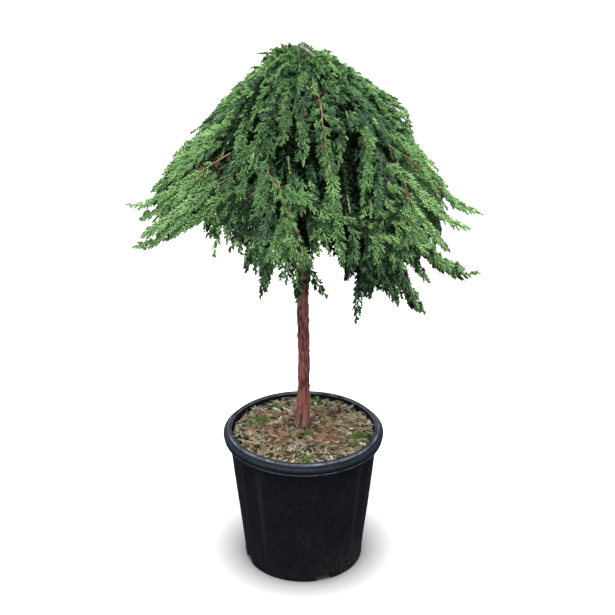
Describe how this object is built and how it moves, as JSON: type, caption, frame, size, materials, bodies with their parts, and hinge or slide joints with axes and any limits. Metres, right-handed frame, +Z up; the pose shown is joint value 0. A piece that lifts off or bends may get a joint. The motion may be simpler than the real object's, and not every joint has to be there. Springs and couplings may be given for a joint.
{
  "type": "potted weeping juniper",
  "caption": "Grafted weeping juniper on a short straight stem, its hanging crown over a round black nursery pot filled with bark mulch.",
  "frame": {"origin": "centre of the pot's flat underside, on the ground", "axes": "+Z up along the trunk, -Y the front of the plant, +X its right as seen from the front"},
  "size_m": [0.6099, 0.5483, 0.993],
  "materials": {
    "pot_plastic": "satin",
    "potting_mix": "rough",
    "bark": "rough",
    "tie_rubber": "matte",
    "needles": "matte"
  },
  "bodies": {
    "root": {"bough_middle_1": "bark", "bough_middle_2": "bark", "bough_middle_3": "bark", "bough_middle_4": "bark", "bough_middle_5": "bark", "bough_middle_6": "bark", "bough_middle_7": "bark", "bough_shoulder_1": "bark", "bough_shoulder_2": "bark", "bough_shoulder_3": "bark", "bough_shoulder_4": "bark", "bough_shoulder_5": "bark", "bough_shoulder_6": "bark", "bough_shoulder_7": "bark", "bough_skirt_1": "bark", "bough_skirt_2": "bark", "bough_skirt_3": "bark", "bough_skirt_4": "bark", "bough_skirt_5": "bark", "bough_skirt_6": "bark", "bough_skirt_7": "bark", "bough_skirt_8": "bark", "foliage_apex": "needles", "foliage_cap_1": "needles", "foliage_cap_2": "needles", "foliage_cap_3": "needles", "foliage_cap_4": "needles", "foliage_cap_5": "needles", "foliage_inner_1": "needles", "foliage_inner_2": "needles", "foliage_inner_3": "needles", "foliage_inner_4": "needles", "foliage_middle_1": "needles", "foliage_middle_2": "needles", "foliage_middle_3": "needles", "foliage_middle_4": "needles", "foliage_middle_5": "needles", "foliage_middle_6": "needles", "foliage_middle_7": "needles", "foliage_shoulder_1": "needles", "foliage_shoulder_2": "needles", "foliage_shoulder_3": "needles", "foliage_shoulder_4": "needles", "foliage_shoulder_5": "needles", "foliage_shoulder_6": "needles", "foliage_shoulder_7": "needles", "foliage_skirt_1": "needles", "foliage_skirt_2": "needles", "foliage_skirt_3": "needles", "foliage_skirt_4": "needles", "foliage_skirt_5": "needles", "foliage_skirt_6": "needles", "foliage_skirt_7": "needles", "foliage_skirt_8": "needles", "pot": "pot_plastic", "potting_mix": "potting_mix", "trunk": "bark", "trunk_tie": "tie_rubber"}
  },
  "joints": []
}
